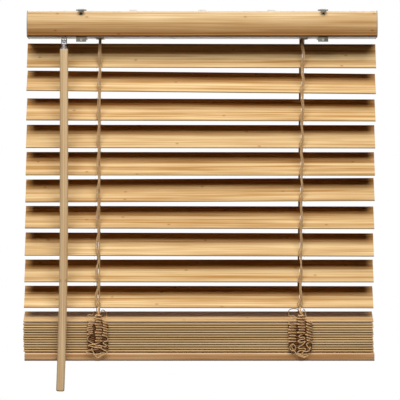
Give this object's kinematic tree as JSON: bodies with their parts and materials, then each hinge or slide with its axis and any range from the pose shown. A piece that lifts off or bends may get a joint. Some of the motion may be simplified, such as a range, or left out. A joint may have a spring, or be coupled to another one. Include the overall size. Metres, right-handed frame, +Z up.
{
  "type": "bamboo venetian blind",
  "caption": "Partly drawn up window blind of tilted bamboo slats on cord ladders, with a steel headrail, bamboo valance, wall brackets, bottom rail and hanging tilt wand.",
  "frame": {"origin": "centre of the four wall screw holes of the two brackets, on the wall face", "axes": "+X along the slats to the right seen from the room, +Y into the wall, +Z up"},
  "size_m": [0.6051, 0.0745, 0.6515],
  "materials": {
    "painted_steel": "white enamel, satin",
    "bamboo_valance": "carbonised bamboo, clear lacquer",
    "bamboo_slat": "carbonised bamboo, clear lacquer",
    "bamboo_rail": "carbonised bamboo, clear lacquer",
    "bamboo_wand": "natural bamboo, clear lacquer",
    "clear_plastic": "clear moulded plastic, slightly grey",
    "white_plastic": "moulded, matte",
    "grey_plastic": "moulded, matte",
    "zinc_steel": "zinc plated sheet steel",
    "hook_steel": "bright wire",
    "tan_cord": "braided polyester cord, tan",
    "tan_plastic": "moulded, matte"
  },
  "bodies": {
    "headrail": {"headrail": "painted_steel", "valance": "bamboo_valance", "valance_clips": "white_plastic", "spring_motor": "white_plastic", "tilter_housing": "white_plastic", "end_cap_left": "grey_plastic", "bracket_left": "zinc_steel", "cradle_left": "white_plastic", "lift_cord_left": "tan_cord", "ladder_slack_front_left": "tan_cord", "ladder_slack_rear_left": "tan_cord", "end_cap_right": "grey_plastic", "bracket_right": "zinc_steel", "cradle_right": "white_plastic", "lift_cord_right": "tan_cord", "ladder_slack_front_right": "tan_cord", "ladder_slack_rear_right": "tan_cord"},
    "tilt_rod": {"tilt_rod": "zinc_steel", "ladder_drum_left": "white_plastic", "ladder_drum_right": "white_plastic"},
    "tilter_stem": {"tilter_stem": "clear_plastic"},
    "wand_hook": {"wand_hook": "hook_steel"},
    "wand": {"tilt_wand": "bamboo_wand", "wand_ferrule": "clear_plastic"},
    "ladder_front": {"ladder_front_left": "tan_cord", "ladder_front_right": "tan_cord"},
    "ladder_rear": {"ladder_rear_left": "tan_cord", "ladder_rear_right": "tan_cord"},
    "slat_01": {"slat_01": "bamboo_slat"},
    "slat_02": {"slat_02": "bamboo_slat"},
    "slat_03": {"slat_03": "bamboo_slat"},
    "slat_04": {"slat_04": "bamboo_slat"},
    "slat_05": {"slat_05": "bamboo_slat"},
    "slat_06": {"slat_06": "bamboo_slat"},
    "slat_07": {"slat_07": "bamboo_slat"},
    "slat_08": {"slat_08": "bamboo_slat"},
    "slat_09": {"slat_09": "bamboo_slat"},
    "slat_10": {"slat_10": "bamboo_slat"},
    "slat_11": {"slat_11": "bamboo_slat"},
    "slat_12": {"slat_12": "bamboo_slat"},
    "slat_13": {"slat_13": "bamboo_slat"},
    "slat_14": {"slat_14": "bamboo_slat"},
    "slat_15": {"slat_15": "bamboo_slat"},
    "slat_16": {"slat_16": "bamboo_slat"},
    "slat_17": {"slat_17": "bamboo_slat"},
    "slat_18": {"slat_18": "bamboo_slat"},
    "slat_19": {"slat_19": "bamboo_slat"},
    "slat_20": {"slat_20": "bamboo_slat"},
    "slat_21": {"slat_21": "bamboo_slat"},
    "slat_22": {"slat_22": "bamboo_slat"},
    "slat_23": {"slat_23": "bamboo_slat"},
    "bottom_rail": {"bottom_rail": "bamboo_rail", "cord_plug_left": "tan_plastic", "cord_plug_right": "tan_plastic"}
  },
  "joints": [
    {"name": "wand_swing", "type": "hinge", "parent": "headrail", "child": "wand_hook", "pos_m": [-0.2355, -0.05991, -0.02648], "axis": [1, 0, 0], "range_deg": [-40, 0]},
    {"name": "wand_turn", "type": "hinge", "parent": "wand_hook", "child": "wand", "pos_m": [-0.2355, -0.0674, -0.06], "axis": [0, 0, -1], "range_deg": [-1610, 210], "deforming": ["ladder_front_left", "ladder_front_right", "ladder_rear_left", "ladder_rear_right"]},
    {"name": "stem_turn", "type": "hinge", "parent": "headrail", "child": "tilter_stem", "pos_m": [-0.2355, -0.0486, -0.013], "axis": [0, -0.6428, -0.766], "range_deg": [-1615, 215]},
    {"name": "tilt_rod_turn", "type": "hinge", "parent": "headrail", "child": "tilt_rod", "pos_m": [0, -0.0303, 0.002], "axis": [1, 0, 0], "range_deg": [-149.35, 20.35]},
    {"name": "slat_01_tilt", "type": "hinge", "parent": "headrail", "child": "slat_01", "pos_m": [0, -0.0303, -0.0535], "axis": [1, 0, 0], "range_deg": [-116, 16]},
    {"name": "slat_02_tilt", "type": "hinge", "parent": "headrail", "child": "slat_02", "pos_m": [0, -0.0303, -0.099], "axis": [1, 0, 0], "range_deg": [-116, 16]},
    {"name": "slat_03_tilt", "type": "hinge", "parent": "headrail", "child": "slat_03", "pos_m": [0, -0.0303, -0.1463], "axis": [1, 0, 0], "range_deg": [-116, 16]},
    {"name": "slat_04_tilt", "type": "hinge", "parent": "headrail", "child": "slat_04", "pos_m": [0, -0.0303, -0.1921], "axis": [1, 0, 0], "range_deg": [-116, 16]},
    {"name": "slat_05_tilt", "type": "hinge", "parent": "headrail", "child": "slat_05", "pos_m": [0, -0.0303, -0.2388], "axis": [1, 0, 0], "range_deg": [-116, 16]},
    {"name": "slat_06_tilt", "type": "hinge", "parent": "headrail", "child": "slat_06", "pos_m": [0, -0.0303, -0.2842], "axis": [1, 0, 0], "range_deg": [-116, 16]},
    {"name": "slat_07_tilt", "type": "hinge", "parent": "headrail", "child": "slat_07", "pos_m": [0, -0.0303, -0.331], "axis": [1, 0, 0], "range_deg": [-116, 16]},
    {"name": "slat_08_tilt", "type": "hinge", "parent": "headrail", "child": "slat_08", "pos_m": [0, -0.0303, -0.3774], "axis": [1, 0, 0], "range_deg": [-116, 16]},
    {"name": "slat_09_tilt", "type": "hinge", "parent": "headrail", "child": "slat_09", "pos_m": [0, -0.0303, -0.4228], "axis": [1, 0, 0], "range_deg": [-116, 16]},
    {"name": "slat_10_tilt", "type": "hinge", "parent": "headrail", "child": "slat_10", "pos_m": [0, -0.0303, -0.4675], "axis": [1, 0, 0], "range_deg": [-116, 16]},
    {"name": "slat_11_tilt", "type": "hinge", "parent": "headrail", "child": "slat_11", "pos_m": [0, -0.0303, -0.5016], "axis": [1, 0, 0], "range_deg": [-28.6, 4.6]},
    {"name": "ladder_front_slide", "type": "slide", "parent": "headrail", "child": "ladder_front", "axis": [0, 0, 1], "range_m": [-0.0059, 0.0419]},
    {"name": "ladder_rear_slide", "type": "slide", "parent": "headrail", "child": "ladder_rear", "axis": [0, 0, 1], "range_m": [-0.0419, 0.0059]},
    {"name": "lift", "type": "slide", "parent": "headrail", "child": "bottom_rail", "axis": [0, 0, -1], "range_m": [0, 0.5365], "deforming": ["ladder_front_left", "ladder_front_right", "ladder_rear_left", "ladder_rear_right", "lift_cord_left", "lift_cord_right", "ladder_slack_front_left", "ladder_slack_front_right", "ladder_slack_rear_left", "ladder_slack_rear_right"]},
    {"name": "slat_12_slide", "type": "slide", "parent": "headrail", "child": "slat_12", "axis": [0, 0, -1], "range_m": [-0.001, 0.0353]},
    {"name": "slat_13_slide", "type": "slide", "parent": "headrail", "child": "slat_13", "axis": [0, 0, -1], "range_m": [-0.001, 0.0772]},
    {"name": "slat_14_slide", "type": "slide", "parent": "headrail", "child": "slat_14", "axis": [0, 0, -1], "range_m": [-0.001, 0.119]},
    {"name": "slat_15_slide", "type": "slide", "parent": "headrail", "child": "slat_15", "axis": [0, 0, -1], "range_m": [-0.001, 0.1608]},
    {"name": "slat_16_slide", "type": "slide", "parent": "headrail", "child": "slat_16", "axis": [0, 0, -1], "range_m": [-0.001, 0.2027]},
    {"name": "slat_17_slide", "type": "slide", "parent": "headrail", "child": "slat_17", "axis": [0, 0, -1], "range_m": [-0.001, 0.2446]},
    {"name": "slat_18_slide", "type": "slide", "parent": "headrail", "child": "slat_18", "axis": [0, 0, -1], "range_m": [-0.001, 0.2864]},
    {"name": "slat_19_slide", "type": "slide", "parent": "headrail", "child": "slat_19", "axis": [0, 0, -1], "range_m": [-0.001, 0.3283]},
    {"name": "slat_20_slide", "type": "slide", "parent": "headrail", "child": "slat_20", "axis": [0, 0, -1], "range_m": [-0.001, 0.3701]},
    {"name": "slat_21_slide", "type": "slide", "parent": "headrail", "child": "slat_21", "axis": [0, 0, -1], "range_m": [-0.001, 0.4119]},
    {"name": "slat_22_slide", "type": "slide", "parent": "headrail", "child": "slat_22", "axis": [0, 0, -1], "range_m": [-0.001, 0.4538]},
    {"name": "slat_23_slide", "type": "slide", "parent": "headrail", "child": "slat_23", "axis": [0, 0, -1], "range_m": [-0.001, 0.4957]}
  ],
  "couplings": [
    {"joint": "stem_turn", "follows": "wand_turn", "ratio": 1},
    {"joint": "tilt_rod_turn", "follows": "wand_turn", "ratio": 0.092143},
    {"joint": "slat_01_tilt", "follows": "wand_turn", "ratio": 0.071429},
    {"joint": "slat_02_tilt", "follows": "wand_turn", "ratio": 0.071429},
    {"joint": "slat_03_tilt", "follows": "wand_turn", "ratio": 0.071429},
    {"joint": "slat_04_tilt", "follows": "wand_turn", "ratio": 0.071429},
    {"joint": "slat_05_tilt", "follows": "wand_turn", "ratio": 0.071429},
    {"joint": "slat_06_tilt", "follows": "wand_turn", "ratio": 0.071429},
    {"joint": "slat_07_tilt", "follows": "wand_turn", "ratio": 0.071429},
    {"joint": "slat_08_tilt", "follows": "wand_turn", "ratio": 0.071429},
    {"joint": "slat_09_tilt", "follows": "wand_turn", "ratio": 0.071429},
    {"joint": "slat_10_tilt", "follows": "wand_turn", "ratio": 0.071429},
    {"joint": "slat_11_tilt", "follows": "wand_turn", "ratio": 0.017143},
    {"joint": "ladder_front_slide", "follows": "wand_turn", "m_per_rad": -0.0014733},
    {"joint": "ladder_rear_slide", "follows": "wand_turn", "m_per_rad": 0.0014733},
    {"joint": "slat_12_slide", "follows": "lift", "ratio": 0.063933},
    {"joint": "slat_13_slide", "follows": "lift", "ratio": 0.14194},
    {"joint": "slat_14_slide", "follows": "lift", "ratio": 0.21994},
    {"joint": "slat_15_slide", "follows": "lift", "ratio": 0.29795},
    {"joint": "slat_16_slide", "follows": "lift", "ratio": 0.37595},
    {"joint": "slat_17_slide", "follows": "lift", "ratio": 0.45396},
    {"joint": "slat_18_slide", "follows": "lift", "ratio": 0.53197},
    {"joint": "slat_19_slide", "follows": "lift", "ratio": 0.60997},
    {"joint": "slat_20_slide", "follows": "lift", "ratio": 0.68798},
    {"joint": "slat_21_slide", "follows": "lift", "ratio": 0.76598},
    {"joint": "slat_22_slide", "follows": "lift", "ratio": 0.84399},
    {"joint": "slat_23_slide", "follows": "lift", "ratio": 0.92199}
  ]
}
